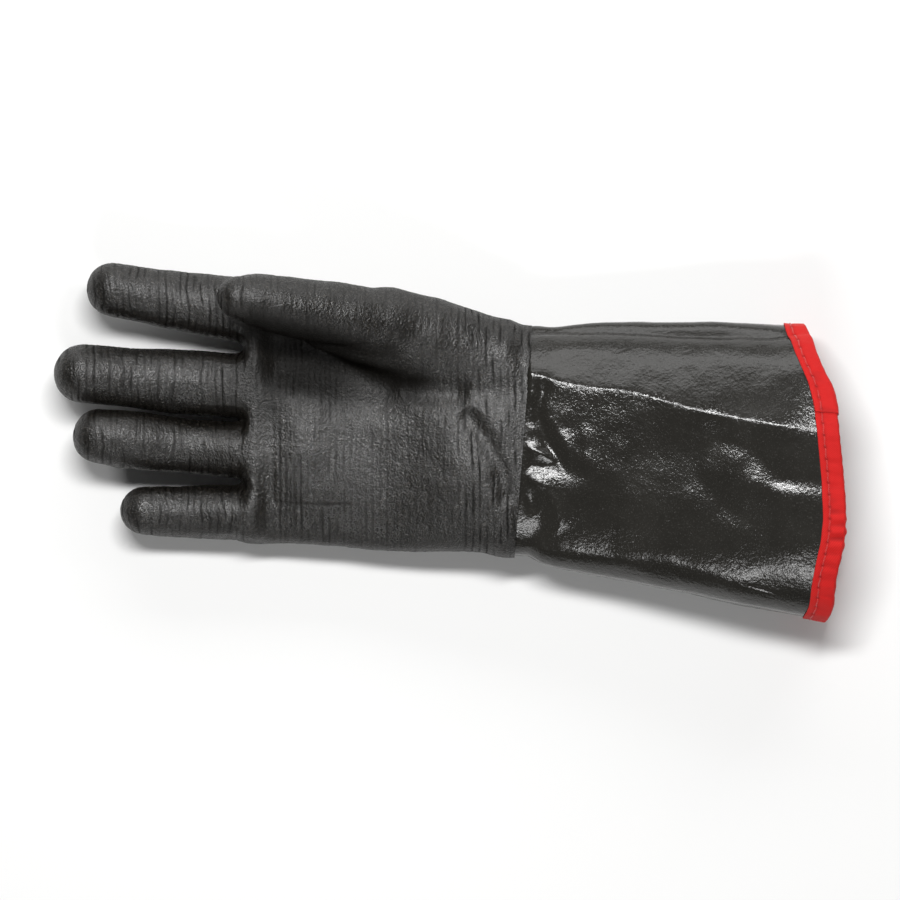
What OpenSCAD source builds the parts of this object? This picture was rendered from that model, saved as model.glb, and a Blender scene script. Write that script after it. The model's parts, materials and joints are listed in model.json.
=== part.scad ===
// Insulated gauntlet glove for cold and hot handling, right hand.
// It lies on the back of the hand: fingers towards -X, thumb side towards +Y,
// palm up along +Z. The origin is under the wrist, on the resting plane.
//
// Every layer of the hand is cut at the joints of the fingers, because a rigid
// model bends only there. At each joint the far piece has a round back end that
// turns inside a sleeve of the near piece.

/* [Layers] */
// Thickness of the rubber coat
coat_t = 1.2; // [0.8:0.1:1.6]
// Thickness of the foam insulation
foam_t = 2.0; // [1:0.1:2.4]
// Thickness of the knitted lining
lining_t = 0.8; // [0.5:0.1:1]
// Free gap between neighbouring layers
layer_gap = 0.12; // [0.05:0.01:0.2]
// Running gap between a round end and its sleeve
play = 0.45; // [0.4:0.05:0.6]

/* [Hand] */
// Wrist line to the front of the palm
palm_l = 124; // [120:1:126]
// Width across the wrist
wrist_w = 106.7; // [104:0.1:108]
// Width across the knuckles
knuckle_w = 119.6; // [118:0.1:121]
// Sideways centre of the wrist
wrist_y = -1.2; // [-2:0.1:0]
// Sideways centre of the knuckles
knuckle_y = 13.5; // [13:0.1:14]
// How far the outer side is drawn in between the wrist and the palm
palm_waist = 3; // [0:0.5:3.5]
// Half the thickness at the wrist
wrist_h = 22; // [21.5:0.1:22.5]
// Half the thickness at the knuckles
knuckle_h = 16.2; // [15.5:0.1:17]

/* [Index finger] */
// Centre of the base joint
index_at = [-136, 58.9, 17.5];
// Turn towards the thumb, rise, and roll about its own axis
index_aim = [9.4, 4, 0];
// Radius at the base joint, at the middle joint and at the tip
index_r = [13.4, 11.8, 12.0];
// Length from the base joint to the middle joint, and on to the tip
index_l = [26, 35];

/* [Middle finger] */
// Centre of the base joint
middle_at = [-136, 24.1, 17.5];
// Turn towards the thumb, rise, and roll about its own axis
middle_aim = [4.6, 4, 0];
// Radius at the base joint, at the middle joint and at the tip
middle_r = [13.4, 12.6, 13.0];
// Length from the base joint to the middle joint, and on to the tip
middle_l = [30, 45.4];

/* [Ring finger] */
// Centre of the base joint
ring_at = [-136, -4.6, 16.5];
// Turn towards the thumb, rise, and roll about its own axis
ring_aim = [5.9, 4, 0];
// Radius at the base joint, at the middle joint and at the tip
ring_r = [11.7, 11.3, 12.0];
// Length from the base joint to the middle joint, and on to the tip
ring_l = [27, 40];

/* [Little finger] */
// Centre of the base joint
little_at = [-136, -33.4, 15];
// Turn towards the thumb, rise, and roll about its own axis
little_aim = [1.4, 4, 0];
// Radius at the base joint, at the middle joint and at the tip
little_r = [10.9, 10.2, 10.4];
// Length from the base joint to the middle joint, and on to the tip
little_l = [20, 25.2];

/* [Thumb] */
// Centre of the base joint
thumb_at = [-75, 54, 44];
// Turn away from the palm, rise, and roll that puts its pad towards the palm
thumb_aim = [9, 18, -90];
// Radius at the base joint, at the end joint and at the tip
thumb_r = [13.2, 11.9, 9.9];
// Length from the base joint to the end joint, and on to the tip
thumb_l = [28, 36.5];

/* [Joint travel] */
// Bend of the index finger at its base joint, less than the others because the thumb lies over it
index_bend = 40; // [20:5:40]
// Bend of the other fingers at their base joints
base_bend = 60; // [30:5:60]
// Bend of a finger at its middle joint
tip_bend = 75; // [40:5:75]
// Backward bend of a finger at its base joint
base_back = 10; // [0:5:10]
// Resting curl of a finger beyond its middle joint
rest_curl = 6; // [0:1:8]
// Swing of the thumb at its base joint, towards the palm
thumb_in = 20; // [10:5:20]
// Swing of the thumb at its base joint, away from the palm
thumb_out = 35; // [10:5:35]
// Bend of the thumb at its end joint
thumb_bend = 45; // [30:5:45]

/* [Gauntlet] */
// Wrist line to the middle of the cuff's edge
gauntlet_l = 131; // [128:1:134]
// Width across the cuff's mouth
mouth_w = 133; // [128:1:136]
// Half the height of the cuff's mouth
mouth_h = 31; // [28:1:32]
// How far the cuff's edge bows out between its two sides
mouth_bow = 12; // [4:1:14]
// Lean of the cuff's edge, in degrees
mouth_lean = 4; // [0:1:6]
// How far the gauntlet reaches into the hand's wrist sleeve
tuck_l = 7; // [5:1:7]
// Space above and below the gauntlet inside the wrist sleeve
tuck_play = 2.4; // [2.2:0.1:2.6]

/* [Binding and stitches] */
// Width of the binding tape on each side of the cuff
tape_w = 9; // [7:0.5:11]
// Thickness of the binding tape
tape_t = 0.8; // [0.5:0.1:1]
// Distance from one stitch to the next
stitch_pitch = 5.4; // [4:0.1:7]
// Diameter of the sewing thread
thread_d = 0.7; // [0.5:0.1:0.8]

/* [Hidden] */

// A digit is its centre, aim, radii, lengths, travel at the base towards its pad
// and away from it, travel at the tip, and resting curl
thumb = [thumb_at, thumb_aim, thumb_r, thumb_l, thumb_in, thumb_out, thumb_bend, 0];
index = [index_at, index_aim, index_r, index_l, index_bend, base_back, tip_bend, rest_curl];
middle = [middle_at, middle_aim, middle_r, middle_l, base_bend, base_back, tip_bend, rest_curl];
ring = [ring_at, ring_aim, ring_r, ring_l, base_bend, base_back, tip_bend, rest_curl];
little = [little_at, little_aim, little_r, little_l, base_bend, base_back, tip_bend, rest_curl];
digits = [thumb, index, middle, ring, little];

// Depth of each layer's outer face below the outside of the glove
foam_in = coat_t + layer_gap;
lining_in = foam_in + foam_t + layer_gap;
hollow_in = lining_in + lining_t;
sleeve_t = play + coat_t;

// Round back end of a piece: its hole and the steps of its arc
hole_angle = 42;
arc_step = 8;
// The inner layers stop short of a joint by this share of its radius
relief = 0.95;
inner_start = 3;
rim_margin = 1;

ring_points = 36;
round_fn = 24;
section_power = 2.5;
// The resting face is cut this far up into the round underside
floor_cut = 1.4;
nose_r = 9;
// The hand's hem, and how far its inner layers stay back from the wrist line
hem = 1;
sleeve_end = 15.5;
// Distance of the lining's seam from the wrist line, where the outer side is drawn in most
seam_d = 22;
// Distance over which the outer side comes back out
waist_fade = 45;

coat_colour = [0.13, 0.125, 0.12];
gloss_colour = [0.16, 0.155, 0.15];
foam_colour = [0.86, 0.82, 0.70];
lining_colour = [0.82, 0.80, 0.76];
tape_colour = [0.82, 0.12, 0.11];
thread_colour = [0.70, 0.10, 0.10];

function mix(a, b, t) = a + (b - a) * t;
function ease(t) = let (c = min(1, max(0, t))) c * c * (3 - 2 * c);
function signed_power(v, p) = sign(v) * pow(abs(v), p);

// ---- Lofts: rings of points along X, closed with flat ends ----

// One flattened ring; the underside is cut flat at the height `floor_z`
function loft_ring(x, y, z, w, h, floor_z, lean = 0, bow = 0) = [
    for (i = [0:ring_points - 1])
        let (
            a = 360 * i / ring_points,
            dy = w * signed_power(cos(a), 2 / section_power),
            dz = h * signed_power(sin(a), 2 / section_power),
            out = bow * (1 - pow(dy / w, 2)) - dy * tan(lean)
        )
        [x + out, y + dy, max(floor_z, z + dz)]
];

module loft(rings) {
    n = ring_points;
    last = len(rings) - 1;
    sides = [
        for (r = [0:last - 1], i = [0:n - 1])
            let (a = r * n + i, b = r * n + (i + 1) % n)
            for (f = [[a, b, a + n], [b, b + n, a + n]]) f
    ];
    start_cap = [for (i = [n - 1:-1:0]) i];
    end_cap = [for (i = [0:n - 1]) last * n + i];
    polyhedron(
        [for (r = rings, p = r) p],
        concat(sides, [start_cap, end_cap])
    );
}

// ---- The hand ----

// Half width, sideways centre and half height of the palm, `d` from the wrist line
function waist(d) = palm_waist * ease(d / seam_d) * (1 - ease((d - seam_d) / waist_fade));
function palm_half_w(d) = mix(wrist_w, knuckle_w, ease(d / palm_l)) / 2 - waist(d) / 2;
function palm_y(d) = mix(wrist_y, knuckle_y, ease(d / palm_l)) + waist(d) / 2;
function palm_half_h(d) = mix(wrist_h, knuckle_h, ease(d / (0.7 * palm_l)));

// How much the rounded front of the palm has closed in, `d` from the wrist line
function nose_in(d) = let (s = max(0, d - palm_l + nose_r)) nose_r - sqrt(nose_r * nose_r - s * s);

function palm_ring(d, inset) =
    let (
        squeeze = inset + nose_in(min(d, palm_l - 0.4)),
        h = palm_half_h(d)
    )
    loft_ring(-d, palm_y(d), h - floor_cut, palm_half_w(d) - squeeze, h - squeeze,
        max(inset, squeeze - floor_cut));

// The palm `inset` below its outside, from `start` beyond the wrist line to its front
module palm_block(inset, start) {
    front = palm_l - inset;
    stations = concat(
        [start, 8, seam_d, 40, 56, 72, 88, 104],
        [for (a = [0:30:90]) front - nose_r * (1 - sin(a))]
    );
    loft([for (d = stations) palm_ring(d, inset)]);
}

// Balls whose chain of hulls makes the mound at the foot of the thumb: centre, radius
mound = [
    [[-19, 37, 22], 17],
    [[-42, 46, 27], 18],
    [[-60, 51, 38], 16.4]
];

module thumb_mound(inset) {
    for (i = [0:len(mound) - 2])
        hull()
            for (ball = [mound[i], mound[i + 1]])
                translate(ball[0]) sphere(ball[1] - inset, $fn = round_fn);
}

// Children are drawn with +Z along the digit, +X on its pad side and the origin at its base joint
module at_digit(d) {
    translate(d[0])
        rotate([0, 0, -d[1][0]])
            rotate([0, d[1][1], 0])
                rotate([0, -90, 0])
                    rotate([0, 0, d[1][2]])
                        children();
}

// The same, at the digit's second joint, with its resting curl
module at_tip(d) {
    at_digit(d)
        translate([0, 0, d[3][0]])
            rotate([0, d[7], 0])
                children();
}

// Everything on the near side of a sleeve's rim, which slants back on the pad side to let the joint bend
module before_rim(r, bend, back) {
    pad_s = r * tan(bend / 2) + rim_margin;
    back_s = r * tan(back / 2) + rim_margin;
    slant = atan2(pad_s - back_s, 2 * r);
    side = 6 * r;
    translate([0, 0, -(pad_s + back_s) / 2])
        rotate([0, slant, 0])
            translate([-side / 2, -side / 2, -side])
                cube(side);
}

// The hand's stub of a digit, `inset` below its outside
module stub(d, inset, length, end) {
    at_digit(d)
        translate([0, 0, -length])
            cylinder(h = length + end, r = d[2][0] + sleeve_t - inset, $fn = round_fn);
}

finger_stub_l = 26;
thumb_stub_l = 18;
function stub_l(i) = i == 0 ? thumb_stub_l : finger_stub_l;

// The whole hand at a depth below its outside, with its stubs ending `end` past the base joints
module hand_block(inset, start, end) {
    palm_block(inset, start);
    thumb_mound(inset);
    for (i = [0:len(digits) - 1]) stub(digits[i], inset, stub_l(i), end);
}

// Takes away what lies beyond the slanted rims of the hand's sleeves
module rim_cutters() {
    for (i = [0:len(digits) - 1]) {
        d = digits[i];
        r = d[2][0] + sleeve_t;
        at_digit(d)
            difference() {
                translate([0, 0, -r]) cylinder(h = 2 * r, r = r + 0.3, $fn = round_fn);
                before_rim(d[2][0], d[4], d[5]);
            }
    }
}

module palm_coat() {
    color(coat_colour)
        difference() {
            hand_block(0, -hem, 0);
            hand_block(coat_t, -hem - 1, 3);
            rim_cutters();
        }
}

// An inner layer of the hand between two depths, clear of the wrist sleeve and of every base joint
module palm_layer(outer_in, inner_in) {
    difference() {
        intersection() {
            hand_block(outer_in, -1, 0);
            translate([-300 - sleeve_end, -150, -10]) cube([300, 300, 120]);
        }
        hand_block(inner_in, -1, 3);
        for (d = digits)
            at_digit(d)
                translate([0, 0, -relief * d[2][0]])
                    cylinder(h = 2 * d[2][0], r = d[2][0] + 2 * play, $fn = round_fn);
    }
}

module palm_insulation() {
    color(foam_colour) palm_layer(foam_in, foam_in + foam_t);
}

module palm_lining() {
    color(lining_colour) palm_layer(lining_in, hollow_in);
}

// ---- Digit pieces: closed profiles turned about the digit's axis ----

// Round back end of a piece at radius r, from its hole to its widest point
function back_arc(r) = [for (a = [hole_angle:arc_step:90]) [r * sin(a), -r * cos(a)]];

// Round front end of a tip, centred s along the axis
function front_arc(r, s) = [for (a = [0:arc_step:88]) [r * cos(a), s + r * sin(a)]];

function reversed(list) = [for (i = [len(list) - 1:-1:0]) list[i]];

// Base piece of the coat: it widens into the sleeve of the next joint
module base_shell(d) {
    r0 = d[2][0];
    r1 = d[2][1];
    l = d[3][0];
    at_digit(d)
        intersection() {
            rotate_extrude($fn = 96)
                polygon(concat(
                    back_arc(r0), [[r0, 0], [r1 + sleeve_t, l]],
                    [[r1 + play, l], [r0 - coat_t, 0]], reversed(back_arc(r0 - coat_t))
                ));
            translate([0, 0, l]) before_rim(r1, d[6] + d[7], 0);
        }
}

// A plain inner layer of a base piece
module base_layer(d, depth, t) {
    r0 = d[2][0] - depth;
    r1 = d[2][1] + sleeve_t - depth;
    l = d[3][0];
    end = l - relief * d[2][1];
    ra = mix(r0, r1, inner_start / l);
    rb = mix(r0, r1, end / l);
    at_digit(d)
        rotate_extrude($fn = 96)
            polygon([[ra, inner_start], [rb, end], [rb - t, end], [ra - t, inner_start]]);
}

// Closed tip profile: a taper with a round front, between two depths
function tip_outline(d, depth, s) =
    let (r1 = d[2][1] - depth, r2 = d[2][2] - depth, front = d[3][1] - d[2][2])
    concat([[mix(r1, r2, s / front), s]], front_arc(r2, front), [[0, front + r2]]);

module tip_shell(d) {
    r1 = d[2][1];
    at_tip(d)
        rotate_extrude($fn = 96)
            polygon(concat(
                back_arc(r1), tip_outline(d, 0, 0),
                reversed(tip_outline(d, coat_t, 0)), reversed(back_arc(r1 - coat_t))
            ));
}

module tip_layer(d, depth, t) {
    at_tip(d)
        rotate_extrude($fn = 96)
            polygon(concat(
                tip_outline(d, depth, inner_start),
                reversed(tip_outline(d, depth + t, inner_start))
            ));
}

module base_coat(d) {
    color(coat_colour) base_shell(d);
}

module base_insulation(d) {
    color(foam_colour) base_layer(d, foam_in, foam_t);
}

module base_lining(d) {
    color(lining_colour) base_layer(d, lining_in, lining_t);
}

module tip_coat(d) {
    color(coat_colour) tip_shell(d);
}

module tip_insulation(d) {
    color(foam_colour) tip_layer(d, foam_in, foam_t);
}

module tip_lining(d) {
    color(lining_colour) tip_layer(d, lining_in, lining_t);
}

// ---- The gauntlet ----

// Inside the wrist sleeve the gauntlet is smaller; past the hem it fills out
fill_start = 13;
fill_l = 20;
tuck_side_play = 2.6;
side_fill_start = 6;
side_fill_l = 9;

// The thumb side of the gauntlet is nearly straight, and the other side flares
function flare(x) = max(0, x) / gauntlet_l;
function thumb_side(x) = mix(wrist_y + wrist_w / 2, 51, flare(x));
function outer_side(x) = mix(wrist_y - wrist_w / 2, 51 - mouth_w, flare(x));
function tuck(x) = 1 - ease((x - fill_start) / fill_l);

// A point ring of the gauntlet's section, x from the wrist line and `inset` below its outside
function gauntlet_ring(x, inset) =
    let (
        side_in = (coat_t + tuck_side_play) * (1 - ease((x - side_fill_start) / side_fill_l)),
        t = tuck(x),
        w = (thumb_side(x) - outer_side(x)) / 2 - side_in,
        y = (thumb_side(x) + outer_side(x)) / 2,
        full_h = mix(wrist_h, mouth_h, ease(flare(x))),
        h = mix(full_h, wrist_h - coat_t - tuck_play, t),
        z = mix(full_h - floor_cut, wrist_h - floor_cut, t),
        under = mix(0, coat_t + tuck_play, t)
    )
    loft_ring(x, y, z, w - inset, h - inset, under + inset,
        mouth_lean * flare(x), mouth_bow * ease(flare(x)));

gauntlet_stations = [
    -tuck_l, 5, 8, 11, 14, 18, 23, 28, 33, 53, 73, 100, gauntlet_l - tape_w, gauntlet_l
];

// A tube of the gauntlet between two depths
module gauntlet_tube(outer_in, inner_in) {
    closed_sweep(concat(
        [for (x = gauntlet_stations) gauntlet_ring(x, outer_in)],
        [for (x = reversed(gauntlet_stations)) gauntlet_ring(x, inner_in)]
    ));
}

// Rows of points joined each to the next, and the last to the first
module closed_sweep(rows) {
    n = len(rows[0]);
    m = len(rows);
    polyhedron(
        [for (r = rows, p = r) p],
        [
            for (r = [0:m - 1], i = [0:n - 1])
                let (
                    a = r * n + i,
                    b = r * n + (i + 1) % n,
                    c = ((r + 1) % m) * n + i,
                    e = ((r + 1) % m) * n + (i + 1) % n
                )
                for (f = [[a, c, b], [b, c, e]]) f
        ]
    );
}

module gauntlet_coat() {
    color(gloss_colour) gauntlet_tube(0, coat_t);
}

module gauntlet_lining() {
    color(lining_colour) gauntlet_tube(foam_in, foam_in + lining_t);
}

// The tape folds over the cuff's edge; its end laps over its start on the thumb side
wall_in = foam_in + lining_t;
lap = [7, 10];
function tape_thick(i) = i >= lap[0] && i <= lap[1] ? 1.6 * tape_t : tape_t;

module cuff_binding() {
    edge = gauntlet_l + layer_gap;
    back = gauntlet_l - tape_w;
    // Distance along the gauntlet and depth below its outside, for the tape's inner and outer face
    u_path = [
        [back, -layer_gap, 1], [edge + tape_t, -layer_gap, 1],
        [edge + tape_t, wall_in + layer_gap, -1], [back, wall_in + layer_gap, -1],
        [back, wall_in + layer_gap, 0], [edge, wall_in + layer_gap, 0],
        [edge, -layer_gap, 0], [back, -layer_gap, 0]
    ];
    color(tape_colour)
        closed_sweep([
            for (p = u_path)
                [
                    for (i = [0:ring_points - 1])
                        gauntlet_ring(p[0], p[1] - p[2] * tape_thick(i))[i]
                ]
        ]);
}

// ---- Stitches: one short thread at each step round a ring ----

function ring_length(points) =
    let (n = len(points))
    [for (i = 0, s = 0; i <= n; s = s + norm(points[(i + 1) % n] - points[i % n]), i = i + 1) s];

// The point a distance s along a closed ring of points
function along(points, sums, s) =
    let (
        n = len(points),
        k = max([for (i = [0:n - 1]) sums[i] <= s ? i : 0]),
        t = (s - sums[k]) / (sums[k + 1] - sums[k])
    )
    mix(points[k], points[(k + 1) % n], t);

module stitches(points, share) {
    sums = ring_length(points);
    total = sums[len(points)];
    count = floor(total / stitch_pitch);
    for (i = [0:count - 1]) {
        middle_s = (i + 0.5) * total / count;
        half = share * stitch_pitch / 2;
        a = along(points, sums, middle_s - half);
        b = along(points, sums, middle_s + half);
        d = b - a;
        translate(a)
            rotate([0, acos(d[2] / norm(d)), atan2(d[1], d[0])])
                cylinder(h = norm(d), d = thread_d, $fn = 16);
    }
}

stitch_back = 6.4;
thread_lift = 0.12;

module binding_stitches() {
    x = gauntlet_l - stitch_back;
    color(thread_colour) {
        stitches(gauntlet_ring(x, -layer_gap - 1.6 * tape_t - thread_d / 2 - thread_lift), 0.6);
        stitches(gauntlet_ring(x, wall_in + layer_gap + 1.6 * tape_t + thread_d / 2 + thread_lift), 0.6);
    }
}

// The row of thread that closes the hand's lining at the wrist
module wrist_seam() {
    color(lining_colour)
        stitches(palm_ring(seam_d, hollow_in + thread_d / 2 + thread_lift), 0.6);
}

palm_coat();
palm_insulation();
palm_lining();
wrist_seam();
gauntlet_coat();
gauntlet_lining();
cuff_binding();
binding_stitches();
base_coat(thumb);  // thumb_base_coat
base_insulation(thumb);  // thumb_base_insulation
base_lining(thumb);  // thumb_base_lining
tip_coat(thumb);  // thumb_tip_coat
tip_insulation(thumb);  // thumb_tip_insulation
tip_lining(thumb);  // thumb_tip_lining
base_coat(index);  // index_base_coat
base_insulation(index);  // index_base_insulation
base_lining(index);  // index_base_lining
tip_coat(index);  // index_tip_coat
tip_insulation(index);  // index_tip_insulation
tip_lining(index);  // index_tip_lining
base_coat(middle);  // middle_base_coat
base_insulation(middle);  // middle_base_insulation
base_lining(middle);  // middle_base_lining
tip_coat(middle);  // middle_tip_coat
tip_insulation(middle);  // middle_tip_insulation
tip_lining(middle);  // middle_tip_lining
base_coat(ring);  // ring_base_coat
base_insulation(ring);  // ring_base_insulation
base_lining(ring);  // ring_base_lining
tip_coat(ring);  // ring_tip_coat
tip_insulation(ring);  // ring_tip_insulation
tip_lining(ring);  // ring_tip_lining
base_coat(little);  // little_base_coat
base_insulation(little);  // little_base_insulation
base_lining(little);  // little_base_lining
tip_coat(little);  // little_tip_coat
tip_insulation(little);  // little_tip_insulation
tip_lining(little);  // little_tip_lining
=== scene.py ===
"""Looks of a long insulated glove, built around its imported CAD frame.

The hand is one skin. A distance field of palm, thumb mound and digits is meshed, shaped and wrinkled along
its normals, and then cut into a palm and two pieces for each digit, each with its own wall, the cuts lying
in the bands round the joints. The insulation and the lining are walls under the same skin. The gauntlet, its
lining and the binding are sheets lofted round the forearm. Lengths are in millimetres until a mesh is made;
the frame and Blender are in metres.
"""
import json
import math
from itertools import product

import bpy
import numpy as np
import openvdb
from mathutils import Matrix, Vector


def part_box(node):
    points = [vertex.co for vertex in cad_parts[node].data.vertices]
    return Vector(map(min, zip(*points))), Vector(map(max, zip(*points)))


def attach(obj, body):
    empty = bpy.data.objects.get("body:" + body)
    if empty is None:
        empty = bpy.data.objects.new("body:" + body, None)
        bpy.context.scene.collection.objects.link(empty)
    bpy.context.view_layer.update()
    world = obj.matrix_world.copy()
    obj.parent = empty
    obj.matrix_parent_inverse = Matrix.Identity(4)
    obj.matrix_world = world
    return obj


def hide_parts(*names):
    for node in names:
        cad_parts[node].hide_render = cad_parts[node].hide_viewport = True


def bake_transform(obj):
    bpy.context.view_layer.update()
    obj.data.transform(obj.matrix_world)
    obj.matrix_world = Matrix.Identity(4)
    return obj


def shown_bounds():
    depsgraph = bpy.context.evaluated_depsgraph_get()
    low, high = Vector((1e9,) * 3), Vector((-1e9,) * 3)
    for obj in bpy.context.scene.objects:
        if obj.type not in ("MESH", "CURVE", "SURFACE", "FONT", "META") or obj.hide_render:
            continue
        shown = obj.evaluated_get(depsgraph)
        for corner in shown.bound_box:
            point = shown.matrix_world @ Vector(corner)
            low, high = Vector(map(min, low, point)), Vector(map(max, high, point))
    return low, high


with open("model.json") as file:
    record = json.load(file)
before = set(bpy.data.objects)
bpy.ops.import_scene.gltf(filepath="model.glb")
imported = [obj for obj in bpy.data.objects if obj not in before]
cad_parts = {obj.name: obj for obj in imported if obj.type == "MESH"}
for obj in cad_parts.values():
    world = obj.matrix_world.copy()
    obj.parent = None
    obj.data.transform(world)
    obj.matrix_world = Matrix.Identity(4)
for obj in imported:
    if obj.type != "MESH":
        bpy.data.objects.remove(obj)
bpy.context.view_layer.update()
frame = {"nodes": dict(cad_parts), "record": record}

MM = 0.001
JOINTS = {j["name"]: j for j in frame["record"]["behaviour"]["joints"]}

# ---- small tools


def smooth(t):
    """Ease from 0 to 1."""
    t = np.clip(t, 0, 1)
    return t * t * (3 - 2 * t)


def mix(a, b, t):
    return a + (b - a) * t


def unit(v):
    v = np.asarray(v, float)
    return v / np.linalg.norm(v)


def bump(p, centre, radii):
    """A soft hill of height 1 over an ellipse on the XY plane."""
    x = (p[:, 0] - centre[0]) / radii[0]
    y = (p[:, 1] - centre[1]) / radii[1]
    return np.exp(-(x * x + y * y))


# Brings the noise's usual peaks to about 1
NOISE_GAIN = 1.6


class Noise:
    """Gradient noise in 3-D, between about -1 and 1, repeatable for a seed."""

    def __init__(self, seed):
        rng = np.random.default_rng(seed)
        self.order = np.tile(rng.permutation(256), 2)
        g = rng.normal(size=(256, 3))
        self.grad = g / np.linalg.norm(g, axis=1, keepdims=True)

    def __call__(self, p):
        cell = np.floor(p).astype(int)
        f = p - cell
        cell &= 255
        fade = f * f * f * (f * (f * 6 - 15) + 10)
        total = np.zeros(len(p))
        for corner in product((0, 1), repeat=3):
            i = (cell + corner) & 255
            h = self.order[self.order[self.order[i[:, 0]] + i[:, 1]] + i[:, 2]]
            weight = np.ones(len(p))
            for axis, c in enumerate(corner):
                weight *= fade[:, axis] if c else 1 - fade[:, axis]
            total += weight * np.einsum("ij,ij->i", self.grad[h], f - corner)
        return NOISE_GAIN * total


# ---- the hand's shape

# The palm's section at the wrist and at the knuckles: half width, middle and half height
WRIST_HALF, KNUCKLE_HALF = 53.4, 59.8
WRIST_Y, KNUCKLE_Y = -1.2, 13.5
WRIST_H, KNUCKLE_H = 22.0, 16.2
PALM_L = 123.5
# The section is an oval of this power, sunk this far and cut flat where the glove lies on the floor
SECTION_POWER = 2.5
FLOOR_CUT = 1.4
FLOOR_Z = -0.2
SKIN_PROUD = 0.25
# Rounding of the palm's front edge
NOSE = 6.0

# Skin radius along each digit, from its root in the palm to its tip
DIGIT_RADII = {
    "index": [11.5, 13.4, 14.4, 14.1, 13.6, 13.0, 12.6, 12.4, 12.0],
    "middle": [11.8, 13.6, 14.6, 14.7, 14.5, 14.0, 13.4, 13.3, 13.2],
    "ring": [10.4, 12.0, 12.5, 12.3, 12.1, 12.4, 13.1, 13.0, 12.2],
    "little": [9.4, 11.0, 12.0, 12.2, 12.0, 11.8, 11.6, 11.4, 10.8],
    "thumb": [13.6, 14.3, 14.6, 14.3, 13.9, 13.4, 12.8, 11.6, 9.4],
}
# How far the skin's line lies to the thumb side of the joints' line: at the base, in the middle, at the tip
DIGIT_SWAY = {
    "index": [0.0, -0.4, 0.0], "middle": [0.1, -0.3, 0.1], "ring": [-0.1, -0.6, -0.1],
    "little": [0.0, -0.3, 0.0], "thumb": [0.0, 0.0, 0.4],
}
FINGERS = ["index", "middle", "ring", "little"]
# How far a digit's skin runs back into the palm from its base joint
ROOT_L = 26.0
THUMB_ROOT_L = 16.0
# The thumb's mound and the bulk under it: balls joined up, each with its centre and radius
MOUND = [((3, 30, 21.5), 14.0), ((-19, 37.5, 24), 17.0), ((-30, 42.0, 27), 17.4), ((-42, 45.8, 30.5), 17.5),
         ((-60, 51.4, 36), 15.7)]
MOUND_LOW = [((3, 28, 20), 13.0), ((-19, 34, 22), 16.0), ((-45, 38.5, 27), 16.0), ((-88, 52, 42), 12.5)]
# The outer side is drawn in past the hem: how far, where it is deepest, and over what length it comes back
PALM_WAIST, WAIST_AT, WAIST_FADE = 3.0, 22.0, 45.0


def chain_distance(p, centres, radii):
    """Distance to a row of balls joined up by cones."""
    centres = np.array(centres, float)
    best = np.full(len(p), 1e3)
    for a, b, ra, rb in zip(centres, centres[1:], radii, radii[1:]):
        ab = b - a
        t = np.clip(((p - a) @ ab) / (ab @ ab), 0, 1)
        d = np.linalg.norm(p - a - t[:, None] * ab, axis=1) - mix(ra, rb, t)
        best = np.minimum(best, d)
    return best


class Digit:
    """A digit's joints from the frame, and the line its skin follows."""

    def __init__(self, name):
        self.name = name
        base = JOINTS["thumb_swing" if name == "thumb" else f"{name}_base_bend"]
        tip = JOINTS[f"{name}_tip_bend"]
        self.base = np.array(base["pos_m"]) / MM
        self.mid = np.array(tip["pos_m"]) / MM
        self.length = np.linalg.norm(self.mid - self.base)
        self.dir = unit(self.mid - self.base)
        radius = DIGIT_RADII[name][-1]
        low, high = (np.array(c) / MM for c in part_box(f"{name}_tip_coat"))
        self.end = np.array([low[0] + radius, 0, high[2] - radius])
        run = (self.mid[0] - self.end[0]) / -self.dir[0]
        self.end[1] = self.mid[1] + self.dir[1] * run
        root_l = THUMB_ROOT_L if name == "thumb" else ROOT_L
        corners = [self.base - self.dir * root_l, self.base, self.mid, self.end]
        self.radii = DIGIT_RADII[name]
        self.path = self.sample(corners, len(self.radii))
        self.path[:, 1] += np.interp(-self.path[:, 0], [-c[0] for c in corners[1:]], DIGIT_SWAY[name])

    @staticmethod
    def sample(corners, count):
        """Evenly spaced points along a bent line."""
        corners = np.array(corners)
        steps = np.linalg.norm(np.diff(corners, axis=0), axis=1)
        at = np.concatenate([[0], np.cumsum(steps)])
        s = np.linspace(0, at[-1], count)
        return np.stack([np.interp(s, at, corners[:, k]) for k in range(3)], axis=1)

    def along(self, p):
        """Distance past the base joint, along the base segment."""
        return (p - self.base) @ self.dir

    def distance(self, p):
        """Distance from points to the digit's surface."""
        return chain_distance(p, self.path, self.radii)


DIGITS = {name: Digit(name) for name in ["thumb"] + FINGERS}


def blend_union(a, b, k):
    """Smooth union of two distances, filleted over k."""
    h = np.clip(0.5 + 0.5 * (b - a) / k, 0, 1)
    return mix(b, a, h) - k * h * (1 - h)


def section(x):
    """Centre and half size of the hand's section, x from the wrist line."""
    t = np.clip(-x / 124, 0, 1)
    waist = PALM_WAIST * smooth(-x / WAIST_AT) * (1 - smooth((-x - WAIST_AT) / WAIST_FADE))
    # The hem is drawn in a little on both sides
    thumb_side, outer_side = -2.0 * smooth((x + 6) / 7), waist + 1.0 * smooth((x + 14) / 14)
    half_w = mix(WRIST_HALF, KNUCKLE_HALF, smooth(t)) + (thumb_side - outer_side) / 2
    y = mix(WRIST_Y, KNUCKLE_Y, smooth(t)) + (thumb_side + outer_side) / 2
    h = mix(WRIST_H, KNUCKLE_H, smooth(t / 0.7))
    return y, half_w, h


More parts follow.
